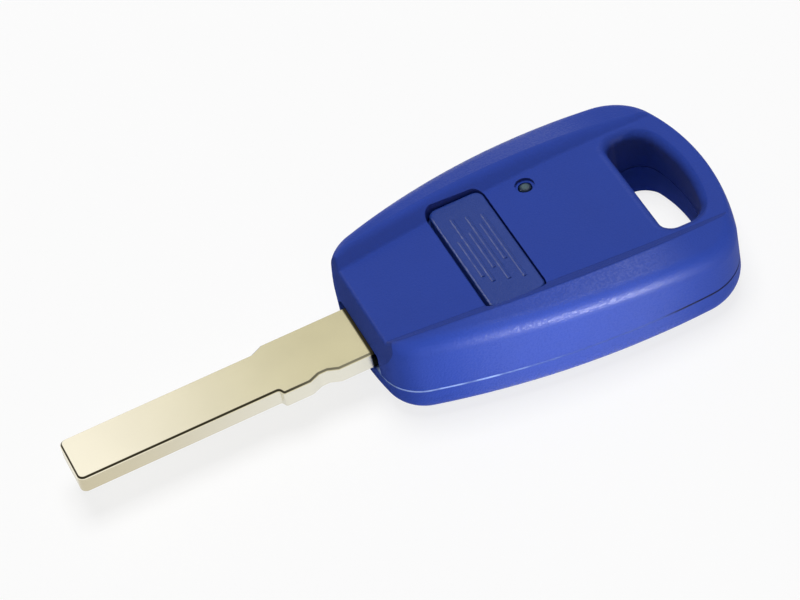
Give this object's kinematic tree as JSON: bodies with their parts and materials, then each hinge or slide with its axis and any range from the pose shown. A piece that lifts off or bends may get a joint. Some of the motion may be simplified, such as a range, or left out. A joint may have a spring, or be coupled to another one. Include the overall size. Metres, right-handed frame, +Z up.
{
  "type": "car key",
  "caption": "Car key with an uncut blade and a rounded plastic head that has a push button in a sunk panel, a status light and a slot for a key ring.",
  "frame": {"origin": "under the middle of the key's length and width, on the flat surface that it lies on", "axes": "+X along the key from the blade's tip to the ring slot, +Y across the head towards the status light, +Z up out of the button's face"},
  "size_m": [0.0954, 0.0358, 0.0141],
  "materials": {
    "shell_plastic": "fine-grained moulded blue plastic",
    "button_plastic": "fine-grained moulded blue plastic",
    "blade_plating": "pale satin plating on brass",
    "seal_silicone": "grey silicone rubber",
    "clear_plastic": "clear polished plastic",
    "board_laminate": "green solder mask",
    "black_plastic": "black moulded epoxy",
    "plunger_plastic": "pale moulded plastic",
    "lamp_plastic": "tinted clear epoxy",
    "contact_steel": "bright nickel-plated steel",
    "capacitor_ceramic": "tan ceramic",
    "copper": "bright copper",
    "capsule_glass": "clear glass"
  },
  "bodies": {
    "key": {"upper_shell": "shell_plastic", "lower_shell": "shell_plastic", "key_blade": "blade_plating", "button_seal": "seal_silicone", "light_pipe": "clear_plastic", "circuit_board": "board_laminate", "switch_body": "black_plastic", "switch_cover": "contact_steel", "status_led": "lamp_plastic", "coin_cell": "contact_steel", "battery_contact": "contact_steel", "battery_strap": "contact_steel", "encoder_chip": "black_plastic", "saw_resonator": "contact_steel", "quartz_crystal": "contact_steel", "rf_transistor": "black_plastic", "chip_resistors": "black_plastic", "chip_capacitors": "capacitor_ceramic", "loop_antenna": "copper", "transponder_capsule": "capsule_glass"},
    "button": {"button_cap": "button_plastic"},
    "plunger": {"switch_plunger": "plunger_plastic"}
  },
  "joints": [
    {"name": "button_press", "type": "slide", "parent": "key", "child": "button", "axis": [0, 0, -1], "range_m": [0, 0.0005], "stiffness_N_per_m": 4000, "springref_m": -0.0002, "deforming": ["button_seal"]},
    {"name": "plunger_press", "type": "slide", "parent": "key", "child": "plunger", "axis": [0, 0, -1], "range_m": [0, 0.00035]}
  ],
  "couplings": [
    {"joint": "plunger_press", "follows": "button_press", "ratio": 0.7}
  ]
}
